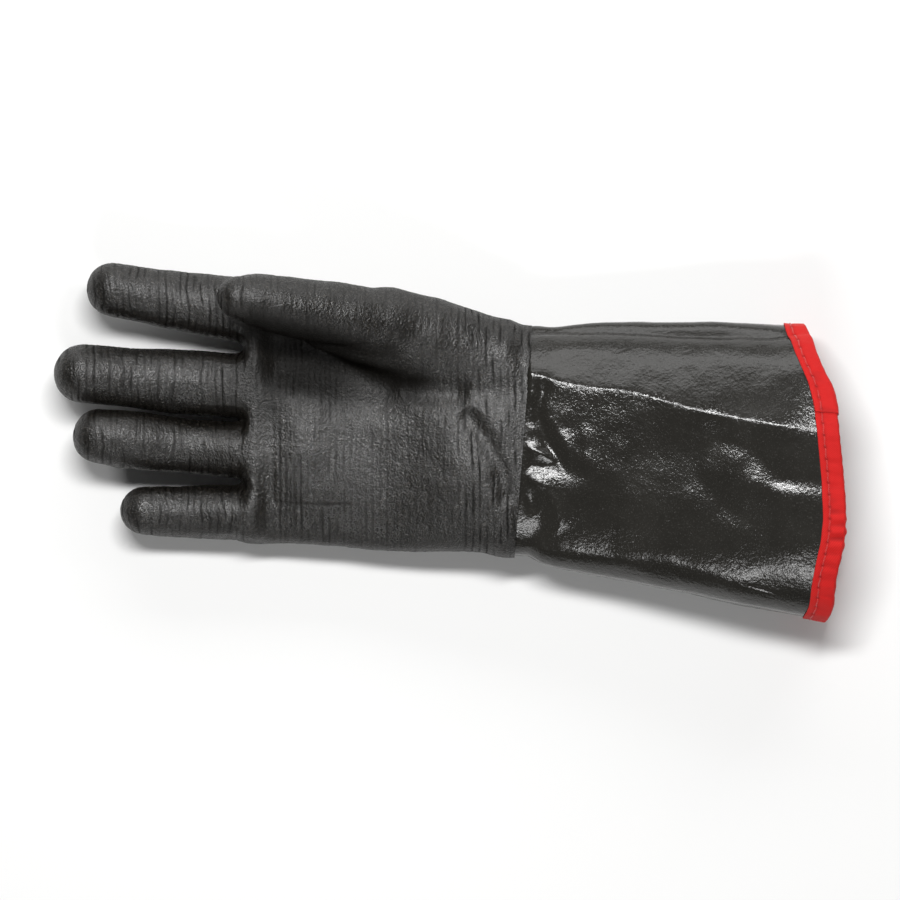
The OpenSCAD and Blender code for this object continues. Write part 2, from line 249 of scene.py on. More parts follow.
def palm_distance(p):
    y, half_w, h = section(p[:, 0])
    dy, dz = np.abs(p[:, 1] - y) / half_w, np.abs(p[:, 2] - h + FLOOR_CUT) / h
    power = SECTION_POWER
    g = (dy ** power + dz ** power) ** (1 / power) + 1e-9
    slope = np.hypot((dy / g) ** (power - 1) / half_w, (dz / g) ** (power - 1) / h)
    side = (g - 1) / slope - SKIN_PROUD
    side = np.maximum(side, FLOOR_Z - p[:, 2])
    front = -p[:, 0] - PALM_L
    return -blend_union(-side, -front, NOSE)


def mound_distance(p):
    """Distance to the mound of the thumb."""
    mounds = [chain_distance(p, *zip(*balls)) for balls in (MOUND, MOUND_LOW)]
    return blend_union(*mounds, 5)


def hand_distance(p):
    """Distance to the skin of the whole hand."""
    fork = 0.2 + 5.0 * smooth((p[:, 0] + 131) / 9)
    fingers = None
    for name in FINGERS:
        finger = DIGITS[name].distance(p)
        fingers = finger if fingers is None else blend_union(fingers, finger, fork)
    palm = blend_union(palm_distance(p), mound_distance(p), 7)
    total = blend_union(palm, fingers, 8)
    thumb = DIGITS["thumb"]
    k = 0.5 + 3.5 * (1 - smooth((thumb.along(p) + 12) / 22))
    return np.maximum(blend_union(total, thumb.distance(p), k), FLOOR_Z - p[:, 2])


# The hem of the hand leans: it lies farther up the arm on the thumb side
HEM_AT = 0.6
HEM_LEAN = 0.075


def hem_shift(u, y):
    return (HEM_AT + HEM_LEAN * y) * (1 - smooth(-u / 60))


VOXEL = 1.0
# The box that is meshed: it takes in all the skin and a little past the hem
FIELD_BOX = np.array([(-215.0, -62.0, -6.0), (6.0, 82.0, 80.0)])
# Slices of the field worked out at a time
CHUNK = 8


def mesh_hand():
    """Quads over the skin, open at the hem. Points are in millimetres."""
    low, high = FIELD_BOX
    count = np.ceil((high - low) / VOXEL).astype(int)
    axes = [low[k] + VOXEL * np.arange(count[k]) for k in range(3)]
    field = np.empty(count, np.float32)
    plane_y, plane_z = np.meshgrid(axes[1], axes[2], indexing="ij")
    for start in range(0, count[0], CHUNK):
        u = axes[0][start:start + CHUNK]
        shape = (len(u), count[1], count[2])
        grid_u = np.broadcast_to(u[:, None, None], shape)
        grid_y = np.broadcast_to(plane_y, shape)
        grid_z = np.broadcast_to(plane_z, shape)
        x = grid_u + hem_shift(grid_u, grid_y)
        p = np.stack([x.ravel(), grid_y.ravel(), grid_z.ravel()], axis=1)
        field[start:start + CHUNK] = hand_distance(p).reshape(shape)
    grid = openvdb.FloatGrid(background=5.0)
    grid.copyFromArray(field)
    points, quads = grid.convertToQuads(0.0)
    points = points.astype(float) * VOXEL + low
    keep = points[quads][:, :, 0].mean(axis=1) < 0
    return compact(points, quads[keep].astype(int))


def compact(points, faces):
    """Only the points that the faces use."""
    used, index = np.unique(faces, return_inverse=True)
    return points[used], index.reshape(faces.shape)


def edges_of(quads):
    """The unique edges, each quad's four edges among them, and how many quads share each."""
    pairs = np.stack([quads, np.roll(quads, -1, axis=1)], axis=2).reshape(-1, 2)
    pairs.sort(axis=1)
    edges, index, uses = np.unique(pairs, axis=0, return_inverse=True, return_counts=True)
    return edges, index.reshape(-1, 4), uses


def relax(points, edges, fixed, rounds):
    """Smooth without shrinking: a step of averaging, then a step back."""
    count = np.bincount(edges.ravel(), minlength=len(points))[:, None]
    for step in [0.55, -0.57] * rounds:
        total = np.zeros_like(points)
        np.add.at(total, edges[:, 0], points[edges[:, 1]])
        np.add.at(total, edges[:, 1], points[edges[:, 0]])
        move = step * (total / count - points)
        move[fixed] = 0
        points = points + move
    return points


def subdivide(points, quads, edges, index):
    """Each quad becomes four."""
    n, m = len(points), len(edges)
    middles = points[edges].mean(axis=1)
    centres = points[quads].mean(axis=1)
    centre = n + m + np.arange(len(quads))
    fine = []
    for k in range(4):
        fine.append(np.stack([quads[:, k], n + index[:, k], centre, n + index[:, k - 1]], axis=1))
    return np.concatenate([points, middles, centres]), np.stack(fine, axis=1).reshape(-1, 4)


def normals_of(points, quads):
    """Each point's normal, from the quads round it."""
    diagonal_a = points[quads[:, 2]] - points[quads[:, 0]]
    diagonal_b = points[quads[:, 3]] - points[quads[:, 1]]
    face = np.cross(diagonal_a, diagonal_b)
    total = np.zeros_like(points)
    for k in range(4):
        np.add.at(total, quads[:, k], face)
    return total / (np.linalg.norm(total, axis=1, keepdims=True) + 1e-12)


# ---- creases of the hand's coat


def stroke(p, line, width, sharp=0.0, width_right=None):
    """1 on a line drawn on the XY plane, falling to 0 beside and beyond it.

    `sharp` above 0 makes its crest about that wide; `width_right` is the width on the line's right.
    """
    line = np.array(line, float)
    best = np.full(len(p), 1e3)
    wide = np.full(len(p), float(width))
    for a, b in zip(line, line[1:]):
        ab = b - a
        ap = p[:, :2] - a
        t = np.clip((ap @ ab) / (ab @ ab), 0, 1)
        d = np.linalg.norm(ap - t[:, None] * ab, axis=1)
        if width_right is not None:
            right = ab[0] * ap[:, 1] - ab[1] * ap[:, 0] < 0
            wide = np.where(d < best, np.where(right, width_right, width), wide)
        best = np.minimum(best, d)
    if sharp:
        return np.exp(-(np.hypot(best, sharp) - sharp) / wide)
    return np.exp(-(best / wide) ** 2)


def grooves(x, p, pitch, width, noise, broken):
    """Thin lines across the hand, about `pitch` apart, each broken up by a noise of its own."""
    number = np.round(x / pitch)
    away = (x / pitch - number) * pitch
    own = np.stack([number * 7.31, p[:, 1] / broken, p[:, 2] / broken], axis=1)
    return np.exp(-(away / width) ** 2) * smooth(0.42 + 1.5 * noise(own))


# The pads of the palm stand this far above its section, and the fingers' roots come up to this height
PALM_RAISE = 2.0
ROOT_TOP = 32.6
# Hollows of the palm: points along each, width and depth. Faint seams: points, width and height
PALM_HOLLOWS = [
    ([(-24, 9), (-17, 0), (-10, -13), (-7, -25)], 4.5, 2.0),
    ([(2, 20), (-20, 20)], 6.0, 1.2),
    ([(-30, 20.5), (-44, 21), (-58, 23)], 7.0, 3.2),
    ([(-62, 24), (-84, 30), (-108, 34)], 12.0, 4.6),
]
# The hollow beside the thumb that gets painted shade: its middle and half sizes, and the thumb's lower edge
# above it, under which painted shade falls too
PAINTED_SHADE_AT, PAINTED_SHADE_HALF = (-97, 32), (27, 17)
THUMB_EDGE = [(-119, 51), (-86, 41), (-66, 27.5), (-50, 23)]
SEAMS = [
    ([(-111, -28), (-104, -29), (-92, -29.8), (-77, -29.4)], 0.6, -0.12),
    ([(-61, 56), (-47, 55.8), (-34, 55)], 0.6, -0.12),
]


def form_hand(points, normals):
    """Pads, hollows and unevenness of the hand: how far each point of the skin moves out."""
    lump = Noise(11)
    palm = np.clip(normals[:, 2], 0, 1) * smooth((points[:, 0] + 122) / 14)
    out = 0.35 * lump(points / 21) + 0.22 * lump(points / 9 + 40)
    top = np.clip(normals[:, 2], 0, 1) * (1 - smooth((points[:, 2] - 38) / 8))
    out += PALM_RAISE * top * smooth((points[:, 0] + 120) / 24)
    # The fingers' roots come up level with the palm
    rise = np.clip(ROOT_TOP - points[:, 2], 0, 3.4) * smooth((points[:, 2] - 18) / 6)
    out += rise * top ** 2 * smooth((points[:, 0] + 150) / 24) * (1 - smooth((points[:, 0] + 122) / 10))
    out += palm * 1.9 * bump(points, (-27, -22), (17, 26))
    out += palm * 1.2 * bump(points, (-100, -10), (12, 30))
    out -= palm * 1.0 * bump(points, (-55, -10), (18, 24))
    hollows = [depth * stroke(points, line, width) for line, width, depth in PALM_HOLLOWS]
    out -= palm * np.max(hollows, axis=0)
    return out * (1 - 0.8 * smooth((points[:, 0] + 8) / 8))


def wrinkle_hand(points, normals):
    """How far each point moves out in the creases and grain of the coat, and how much painted shade each
    point gets: in the creases, along the seams, in the hollow beside the thumb and under the thumb's edge.
    """
    line, fine, patch = Noise(12), Noise(13), Noise(14)
    x, z = points[:, 0], points[:, 2]
    finger = smooth((-112 - x) / 16)
    palm = np.clip(normals[:, 2], 0, 1) * (1 - smooth((z - 31) / 4))
    # Grooves across the palm, straighter than those across the digits
    wander = mix(0.55, 1.5, finger) * line(points / np.array([16, 13, 13])) + 0.25 * fine(points / 3.4)
    lines = grooves(x + wander, points, 3.2, 0.42, line, 13.0)
    more = grooves(x + 1.5 * wander + 1.1, points, 2.3, 0.40, patch, 7.0)
    rib = palm * smooth((-76 - x) / 8) * (1 - smooth((-x - 106) / 8))
    clear = np.maximum.reduce([smooth((x + 36) / 14), finger, 0.8 * rib, 0.35 + 0 * x])
    # The grooves are cut in a little and also darkened with painted shade
    crease_and_painted_shade = clear * np.clip(mix(lines, 0.8 * lines, finger) + 0.4 * more, 0, 1)
    out = 0.10 * rib * np.cos(2 * math.pi * (x + 0.4 * wander) / 2.4)
    out -= 0.19 * crease_and_painted_shade
    # Painted shade, darker and with less shine: in the hollow beside the thumb and under the thumb's lower
    # edge, where the thumb shades the palm
    painted_hollow_shade = palm * (1 - np.exp(-2.6 * bump(points, PAINTED_SHADE_AT, PAINTED_SHADE_HALF)))
    under = 0.8 * smooth(1.2 + normals[:, 2]) * stroke(points, THUMB_EDGE, 8.5)
    crease_and_painted_shade = 1 - (1 - crease_and_painted_shade) * (1 - np.maximum(painted_hollow_shade, under))
    # The seams are shallow grooves with painted shade along them
    for mark, width, height in SEAMS:
        seam = palm * stroke(points, mark, width)
        out += height * seam
        crease_and_painted_shade = np.maximum(crease_and_painted_shade, 0.7 * seam)
    out += 0.09 * fine(points / 1.3) + 0.07 * patch(points / 2.4 + 70)
    return out, crease_and_painted_shade


# ---- cutting the hand into pieces

# Half length of the bending skin round a finger's base joint and round its middle joint
BASE_BEND, TIP_BEND = 12.0, 12.0
# The thumb's base bends over a slanted band, because its underside grows out of the palm
THUMB_BAND_DIR = unit((-0.70, 0.0, 0.716))
THUMB_BAND_FROM = 5.5
THUMB_BAND_L = 11.0
# Its tip bends past its joint, clear of the base's slanted band
THUMB_TIP_BEND = 14.0


def band(digit, part):
    """Start and end points of the bending skin for a digit's base or tip piece."""
    if digit.name == "thumb":
        if part == "base":
            start = digit.base + THUMB_BAND_DIR * THUMB_BAND_FROM
            return start, start + THUMB_BAND_DIR * THUMB_BAND_L
        return digit.mid, digit.mid + THUMB_TIP_BEND * digit.dir
    if part == "base":
        return digit.base - BASE_BEND * digit.dir, digit.base + BASE_BEND * digit.dir
    half = min(TIP_BEND, digit.length - BASE_BEND)
    return digit.mid - half * digit.dir, digit.mid + half * digit.dir


def past(p, start, end):
    """Distance past the plane at start, towards end."""
    return (p - start) @ unit(end - start)


def label_faces(points, quads):
    """0 for the palm, then two numbers for each digit: its base and its tip."""
    centres = points[quads].mean(axis=1)
    labels = np.zeros(len(quads), int)
    rest = blend_union(palm_distance(centres), mound_distance(centres), 7)
    distance = {name: d.distance(centres) for name, d in DIGITS.items()}
    for i, (name, digit) in enumerate(DIGITS.items()):
        others = [distance[n] for n in DIGITS if n != name]
        if name != "thumb":
            mine = distance[name] < np.minimum.reduce(others)
        else:
            mine = distance[name] < np.minimum.reduce(others + [rest]) + 3
        for k, part in enumerate(("base", "tip")):
            labels[mine & (past(centres, *band(digit, part)) > 0)] = 1 + 2 * i + k
    return labels


# The hand's pieces, in the order of their labels
PLACES = ["palm"] + [f"{name}_{part}" for name in DIGITS for part in ("base", "tip")]

# The coat thins out towards its hem
COAT_WALL, HEM_WALL = 1.15, 0.45


def rim_edges(skin, faces_in):
    """The edges round some of a skin's quads: where each starts and ends, and its number."""
    own, own_index = skin["quads"][faces_in], skin["index"][faces_in]
    alone = np.bincount(own_index.ravel(), minlength=len(skin["edges"])) == 1
    at = alone[own_index]
    return own[at], np.roll(own, -1, axis=1)[at], own_index[at]


def cut_piece(skin, faces_in):
    """A closed wall from some of a skin's quads: fine outside, coarse inside, and a rim between."""
    a, b, edge = rim_edges(skin, faces_in)
    middle = len(skin["coarse"]) + edge
    shift = len(skin["fine"])
    outer = skin["fine_quads"][np.repeat(faces_in, 4)]
    inner = skin["quads"][faces_in][:, ::-1] + shift
    rim = [(middle, a, a + shift), (middle, a + shift, b + shift), (middle, b + shift, b)]
    triangles = np.concatenate([np.stack(corners, axis=1) for corners in rim])
    points = np.concatenate([skin["fine"], skin["inside"]])
    normals = np.concatenate([skin["fine_normals"], -skin["inside_normals"]])
    return points, normals, np.concatenate([outer, inner]), triangles


def inner_wall(skin, faces_in, depth, wall):
    """A closed wall under some of a skin's quads, `depth` below its outside."""
    a, b, _ = rim_edges(skin, faces_in)
    core, normals = skin["core"], skin["inside_normals"]
    shift = len(core)
    own = skin["quads"][faces_in]
    faces = [own, own[:, ::-1] + shift, np.stack([b, a, a + shift, b + shift], axis=1)]
    points = np.concatenate([core - depth * normals, core - (depth + wall) * normals])
    return points, np.concatenate(faces)


def new_mesh(name, points, quads, triangles=None, normals=None, grain=None, crease_and_painted_shade=None):
    """A mesh object from millimetre points, with given normals where they matter.

    Its materials read the attribute "grain", the points at rest or coordinates along a tape, and an
    attribute of creases and painted shade, which darkens the colour where it is high.
    """
    parts = [quads.ravel()]
    sizes = [np.full(len(quads), 4)]
    if triangles is not None:
        parts.append(triangles.ravel())
        sizes.append(np.full(len(triangles), 3))
    loops = np.concatenate(parts)
    sizes = np.concatenate(sizes)
    used, loops = np.unique(loops, return_inverse=True)
    mesh = bpy.data.meshes.new(name)
    mesh.vertices.add(len(used))
    mesh.vertices.foreach_set("co", (points[used] * MM).astype(np.float32).ravel())
    mesh.loops.add(len(loops))
    mesh.loops.foreach_set("vertex_index", loops.astype(np.int32))
    mesh.polygons.add(len(sizes))
    starts = np.concatenate([[0], np.cumsum(sizes)[:-1]])
    mesh.polygons.foreach_set("loop_start", starts.astype(np.int32))
    mesh.update(calc_edges=True)
    mesh.validate()
    mesh.shade_smooth()
    marks = mesh.attributes.new("grain", "FLOAT_VECTOR", "POINT")
    marks.data.foreach_set("vector", (points if grain is None else grain)[used].astype(np.float32).ravel())
    if crease_and_painted_shade is not None:
        marks = mesh.attributes.new("crease_and_painted_shade", "FLOAT", "POINT")
        marks.data.foreach_set("value", crease_and_painted_shade[used].astype(np.float32))
    if normals is not None:
        mesh.normals_split_custom_set(normals[used][loops].astype(np.float32))
    piece = bpy.data.objects.new(name, mesh)
    bpy.context.collection.objects.link(piece)
    return piece


# Under the coat: how deep each layer lies, how thick it is, and its slot. Both start at the wrist's seam
LAYERS = {"insulation": (1.32, 2.0, "foam"), "lining": (3.44, 0.8, "lining")}
CORE_FROM = 22.0


def shape_hand():
    """The hand's skin, coarse and fine, and the label of the piece that each coarse quad goes to."""
    points, quads = mesh_hand()
    edges, index, uses = edges_of(quads)
    hem = np.unique(edges[uses == 1])
    points[hem, 0] = 0
    points = relax(points, edges, hem, 4)
    points[:, 0] += hem_shift(points[:, 0], points[:, 1])
    labels = label_faces(points, quads)
    fine, fine_quads = subdivide(points, quads, edges, index)
    fine_edges, _, fine_uses = edges_of(fine_quads)
    fine_hem = np.unique(fine_edges[fine_uses == 1])
    fine = relax(fine, fine_edges, fine_hem, 4)
    normals = normals_of(fine, fine_quads)
    fine = fine + normals * form_hand(fine, normals)[:, None]
    normals = normals_of(fine, fine_quads)
    coarse = fine[:len(points)]
    inside_normals = normals[:len(points)]
    wall = mix(COAT_WALL, HEM_WALL, smooth((coarse[:, 0] + 10) / 8))[:, None]
    out, crease_and_painted_shade = wrinkle_hand(fine, normals)
    wrinkled = fine + normals * out[:, None]
    hand = {
        "quads": quads, "edges": edges, "index": index, "coarse": points,
        "fine": wrinkled, "fine_quads": fine_quads,
        "fine_normals": normals_of(wrinkled, fine_quads),
        "inside": coarse - wall * inside_normals,
        "inside_normals": inside_normals,
        "core": mix(points, coarse, smooth((-points[:, :1] - CORE_FROM) / 14)),
        # The coat's creases and painted shade; the inside points get none
        "crease_and_painted_shade": np.concatenate([crease_and_painted_shade, np.zeros(len(coarse))]),
    }
    return hand, labels


def dress_piece(piece, node, material):
    """Gives a piece of the hand its material and hides the CAD node it stands for; the palm's piece goes on
    the hand's body.
    """
    piece.data.materials.append(material)
    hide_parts(node)
    digit, part = node.split("_")[:2]
    if digit == "palm":
        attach(piece, "hand")
        return
    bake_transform(piece)


def build_coat(hand, labels, material):
    for number, place in enumerate(PLACES):
        points, normals, faces, triangles = cut_piece(hand, labels == number)
        piece = new_mesh(f"{place}_skin", points, faces, triangles, normals, crease_and_painted_shade=hand["crease_and_painted_shade"])
        dress_piece(piece, f"{place}_coat", material)


def build_layer(hand, labels, layer, material):
    depth, thick, slot = LAYERS[layer]
    past_seam = hand["coarse"][hand["quads"]].mean(axis=1)[:, 0] < -CORE_FROM + 1
    for number, place in enumerate(PLACES):
        points, faces = inner_wall(hand, (labels == number) & past_seam, depth, thick)
        piece = new_mesh(f"{place}_{layer}_core", points, faces)
        dress_piece(piece, f"{place}_{layer}", material)


# ---- the gauntlet's shape

GAUNTLET_L = 131.0
MOUTH_W, MOUTH_H = 133.0, 31.0
MOUTH_THUMB_SIDE = 51.0
MOUTH_LEAN, MOUTH_BOW = math.radians(4), 12.0
TUCK_IN = 14.0
# Inside the hand the gauntlet lies this far below the hand's outside, and past the hem it fills out
TUCK_DEPTH, FILL_L = 0.8, 9.0
THUMB_SIDE_IN = 1.7
GAUNTLET_WALL = 1.1
LINING_DEPTH, LINING_WALL = 1.35, 0.75
# Folds on the palm side: points along each, widths to its thumb side and its other side, crest, height
FOLDS = [
    ([(56, 40), (80, 33), (100, 31), (136, 27)], 8, 12, 3.0, 0.6),
    ([(88, -1), (100, -4), (107, -11), (114, -18), (136, -21)], 8, 6, 3.0, -1.3),
    ([(104, -20), (116, -24), (136, -26)], 6, 8, 2.5, 1.2),
    ([(76, -6), (78, -18), (90, -30), (108, -41)], 9, 9, 3.0, -1.5),
    ([(118, 28), (127, 23), (136, 19)], 3, 5, 1.0, 0.7),
    ([(36, 4), (43, -4), (41, -14)], 6, 6, 2.0, 0.8),
    ([(18, -50), (40, -53), (66, -54), (96, -64)], 9, 12, 3.0, 2.0),
]
# The long fold's crest. Past it the gauntlet falls away towards the thumb side
CREST = [(-2, 28.5), (4, 28.4), (16, 25), (30, 22.5), (42, 21.5), (53, 19.4), (67, 15.5), (80, 11.7),
         (107, 7), (136, 2)]
CREST_H, CREST_W, CREST_SHARP = 2.9, 16, 2.4
CREST_FALL, CREST_FALL_L = 0.21, 60.0
# Puckers where the gauntlet is gathered into the hand, on the palm side
PUCKERS = [
    ([(9, 21), (7, 14), (7.5, 8), (10, 0), (15, -9)], 3.0, 2.6, 2.0, -1.9),
    ([(12, 9), (16, 3), (21, -5)], 3.6, 3.4, 2.5, 1.3),
    ([(28, 5), (29, -12)], 3.5, 3.5, 2.5, 1.1),
    ([(0, 11), (5, 9)], 3.0, 3.0, 1.5, 0.8),
    ([(1, -4), (7, -6), (14, -9.5)], 2.0, 2.6, 1.3, 1.5),
    ([(0, -13), (9, -14), (22, -16)], 5.5, 6.0, 3.5, -0.9),
    ([(2, -18), (10, -22), (15.5, -31), (17, -38), (14, -44)], 3.0, 3.0, 2.0, 1.2),
    ([(2, -29), (8, -33), (8, -41)], 4.5, 4.5, 2.5, -1.6),
]


def forearm(x, turn, depth):
    """Points `depth` below the gauntlet's outside, x from the wrist line, turned from the thumb side."""
    flare = np.clip(x, 0, None) / GAUNTLET_L
    full = smooth(x / FILL_L)
    hand_y, hand_half, _ = section(np.minimum(x, 0))
    thumb_side = mix(WRIST_Y + WRIST_HALF, MOUTH_THUMB_SIDE, flare) - THUMB_SIDE_IN * (1 - smooth(x / 45))
    outer_side = mix(WRIST_Y - WRIST_HALF, MOUTH_THUMB_SIDE - MOUTH_W, flare)
    thumb_side = mix(hand_y + hand_half + SKIN_PROUD, thumb_side, full)
    outer_side = mix(hand_y - hand_half - SKIN_PROUD, outer_side, full)
    tucked = depth + TUCK_DEPTH * (1 - full)
    half_w = (thumb_side - outer_side) / 2
    h = mix(WRIST_H, MOUTH_H, smooth(flare))
    c, s = np.cos(turn), np.sin(turn)
    power = 2 / SECTION_POWER
    dy = np.sign(c) * np.abs(c) ** power
    dz = np.sign(s) * np.abs(s) ** power
    out = MOUTH_BOW * smooth(flare) * (1 - dy * dy) - dy * half_w * math.tan(MOUTH_LEAN) * flare
    edge_wave = 1.3 * smooth((x - 95) / 37) * np.sin(3 * turn + 0.6) * np.sin(5 * turn)
    y = (thumb_side + outer_side) / 2 + (half_w - tucked) * dy
    z = np.maximum(h - FLOOR_CUT + (h - tucked) * dz, tucked + FLOOR_Z)
    return np.stack([x + out + edge_wave, y, z], axis=-1)


def fold_gauntlet(points, normals):
    """How far each point of the gauntlet moves out along its normal."""
    soft, ridge = Noise(21), Noise(22)
    x = points[:, 0]
    palm = smooth(2.2 * normals[:, 2] + 0.1)
    out = np.zeros(len(points))
    past_crest = points[:, 1] - np.interp(x, *np.array(CREST, float).T)
    fall = CREST_FALL_L * (1 - np.exp(-np.clip(past_crest, 0, None) / CREST_FALL_L))
    ridge_out = CREST_H * stroke(points, CREST, CREST_W, CREST_SHARP)
    for line, width, width_right, sharp, height in FOLDS + PUCKERS:
        move = height * stroke(points, line, width, sharp, width_right)
        if height > 0:
            ridge_out = -blend_union(-ridge_out, -move, 0.6)
        else:
            out += palm * move
    out += palm * (ridge_out - CREST_FALL * fall)
    back = 1 - palm
    drawn = points / np.array([52, 17, 17])
    out += back * 1.5 * ridge(drawn) + 0.45 * soft(points / 26) + 0.18 * soft(points / 9 + 7)
    # Gathers round the whole wrist
    angle = np.arctan2(points[:, 2] - WRIST_H, points[:, 1] - WRIST_Y)
    gather = np.sin(13 * angle + 2.0 * soft(points / 40)) * ridge(points / 19 + 3)
    out += (0.5 + back) * 1.7 * gather * np.exp(-np.clip(x, 0, None) / 15)
    out *= smooth((x - 0.2) / 4.5)
    # The edge is held flat by its binding
    return out * mix(1, 0.55, smooth((x - 110) / 20))


def tube_quads(rings, count):
    """Quads between rings of `count` points each."""
    a = np.arange(rings - 1)[:, None] * count + np.arange(count)
    b = np.arange(rings - 1)[:, None] * count + (np.arange(count) + 1) % count
    return np.stack([a, b, b + count, a + count], axis=2).reshape(-1, 4)


def loft(xs, count, depth):
    """A tube of quads round the forearm, with `count` points in each ring."""
    turn = 2 * math.pi * np.arange(count) / count
    grid_x, grid_turn = np.meshgrid(xs, turn, indexing="ij")
    return forearm(grid_x.ravel(), grid_turn.ravel(), depth), tube_quads(len(xs), count)


def build_sheet(name, depth, wall, start, end, step, count, detail):
    """A closed sheet round the forearm, folded as the gauntlet is."""
    xs = np.linspace(start, end, int((end - start) / step) + 1)
    points, quads = loft(xs, count, depth)
    edges, index, _ = edges_of(quads)
    fine, fine_quads = subdivide(points, quads, edges, index)
    normals = normals_of(fine, fine_quads)
    out = fold_gauntlet(fine, normals)
    smooth_points = fine + normals * out[:, None]
    folded = smooth_points + normals * detail(smooth_points)[:, None]
    n = len(points)
    smooth_normals = normals_of(smooth_points, fine_quads)
    sheet = {
        "quads": quads, "edges": edges, "index": index, "coarse": points,
        "fine": folded, "fine_quads": fine_quads,
        "fine_normals": normals_of(folded, fine_quads),
        "inside": smooth_points[:n] - wall * smooth_normals[:n],
        "inside_normals": smooth_normals[:n],
    }
    parts = cut_piece(sheet, np.ones(len(quads), bool))
    return new_mesh(name, parts[0], parts[2], parts[3], parts[1])


def gauntlet_detail(p):
    """The cloth under the gloss shows faintly, as shallow unevenness."""
    noise = Noise(31)
    return 0.05 * noise(p / 2.2) + 0.03 * noise(p / 1.1 + 50)


def plain_detail(p):
    return np.zeros(len(p))


def build_gauntlet(coat_material, lining_material):
    coat = build_sheet("gauntlet_skin", 0.0, GAUNTLET_WALL, -6.0, GAUNTLET_L, 1.0, 340, gauntlet_detail)
    coat.data.materials.append(coat_material)
    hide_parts("gauntlet_coat")
    lining = build_sheet("gauntlet_lining_sheet", LINING_DEPTH, LINING_WALL,
                         -TUCK_IN, GAUNTLET_L - 0.2, 2.0, 200, plain_detail)
    lining.data.materials.append(lining_material)
    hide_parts("gauntlet_lining")
    for piece in (coat, lining):
        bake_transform(piece)


# ---- binding and stitches

TAPE_W, TAPE_T = 9.0, 0.7
TAPE_GAP = 0.15
LAP_LIFT = TAPE_T + 0.1
SHEET_T = LINING_DEPTH + LINING_WALL
STITCH_PITCH = 5.35
STITCH_BACK = 6.1
THREAD_R = 0.24
# Where the tape starts and ends, on the thumb's side, and how far its end laps over its start
LAP_TURN, LAP_L = 1.07, 11.0
# Middle of the tape's deepest puckers
TAPE_PUCKER_Y = -42.0
# Mesh steps along the tape and across it, and points round its folded edge
TAPE_STEP = 0.28
LEG_STEP = 0.5
EDGE_POINTS = 9


def unit_rows(v):
    return v / np.linalg.norm(v, axis=1, keepdims=True)


def folded(x, turn):
    """Points on the outside of the folded gauntlet."""
    p = forearm(x, turn, 0.0)
    along = forearm(x + 0.3, turn, 0.0) - forearm(x - 0.3, turn, 0.0)
    around = forearm(x, turn + 0.004, 0.0) - forearm(x, turn - 0.004, 0.0)
    n = unit_rows(np.cross(around, along))
    return p + n * fold_gauntlet(p, n)[:, None]


def cuff_frames(turn, back):
    """Point, outward normal and direction to the edge, for every turn and distance back from the edge."""
    turns, backs = np.meshgrid(turn, back, indexing="ij")
    turns, x = turns.ravel(), GAUNTLET_L - backs.ravel()
    to_edge = unit_rows(folded(x + 0.6, turns) - folded(x - 0.6, turns))
    around = folded(x, turns + 0.006) - folded(x, turns - 0.006)
    normal = unit_rows(np.cross(around, to_edge))
    shape = (len(turn), len(back), 3)
    return folded(x, turns).reshape(shape), normal.reshape(shape), to_edge.reshape(shape)


def even_turns(start, extra, step):
    """Even turns along the stitch line, once round from start and on by extra, and their lengths."""
    turn = start + np.linspace(0, 2 * math.pi, 2000)
    line = folded(np.full(len(turn), GAUNTLET_L - STITCH_BACK), turn)
    length = np.concatenate([[0], np.cumsum(np.linalg.norm(np.diff(line, axis=0), axis=1))])
    whole = length[-1]
    at = np.linspace(0, whole + extra, int((whole + extra) / step))
    return start + np.interp(at % whole, length, turn - start) + 2 * math.pi * (at // whole), at, whole


def tape_profile():
    """The tape's section: distance back, offsets past the edge and out of the sheet, its way of lifting."""
    leg = np.arange(0, TAPE_W + 0.01, LEG_STEP)
    top, under = TAPE_GAP + TAPE_T, TAPE_GAP
    low = -SHEET_T
    rows = []
    # Outer face, from the tape's inside edge round to its other edge
    rows += [(b, 0, top, 0, 1) for b in leg[::-1]]
    half = (top - (low - top)) / 2
    for a in np.linspace(80, -80, EDGE_POINTS):
        e = 1.15 * math.cos(math.radians(a))
        n = math.sin(math.radians(a))
        rows.append((0, e, top - half + half * n, math.cos(math.radians(a)), n))
    rows += [(b, 0, low - top, 0, -1) for b in leg]
    # Folded-in hem, then the hidden face
    rows.append((TAPE_W + 0.18, 0, low - top / 2 - under / 2, 0, -1))
    rows += [(b, 0, low - under, 0, -1) for b in leg[::-3]]
    rows += [(0, 0.4, low / 2 + n, 0.4, 0) for n in (-0.7, 0.7)]
    rows += [(b, 0, under, 0, 1) for b in leg[::3]]
    rows.append((TAPE_W + 0.18, 0, top / 2 + under / 2, 0, 1))
    return np.array(rows)


def tape_relief(at, back, y):
    """Dimples at the stitches and puckers between them and the edge, and painted shade in the dimples, along
    the stitch line and in the puckers' hollows.
    """
    phase = (at / STITCH_PITCH + 0.5) % 1 - 0.5
    hole = np.exp(-(phase * STITCH_PITCH / 0.75) ** 2 - ((back - STITCH_BACK) / 0.7) ** 2)
    line = np.exp(-((back - STITCH_BACK) / 1.0) ** 2)
    pucker = Noise(41)(np.stack([at / 4.6, back / 14, 0 * at], axis=-1).reshape(-1, 3)).reshape(at.shape)
    fine = Noise(42)(np.stack([at / 1.9, back / 6, 0 * at], axis=-1).reshape(-1, 3)).reshape(at.shape)
    loose = smooth((STITCH_BACK - back) / 2.5 + 0.3)
    # A few deeper puckers low on the outer side
    away = y - TAPE_PUCKER_Y
    pucker = pucker + 1.3 * np.exp(-(away / 9) ** 2) * np.cos(2 * math.pi * away / 6.2)
    # Painted shade: darker in the stitch holes, along the stitch line and in the puckers' hollows
    shade = np.clip(0.55 * hole + 0.2 * line + 0.5 * loose * np.clip(-pucker - 0.2, 0, 1), 0, 1)
    return 0.34 * loose * pucker + 0.08 * fine - 0.16 * line - 0.24 * hole, shade


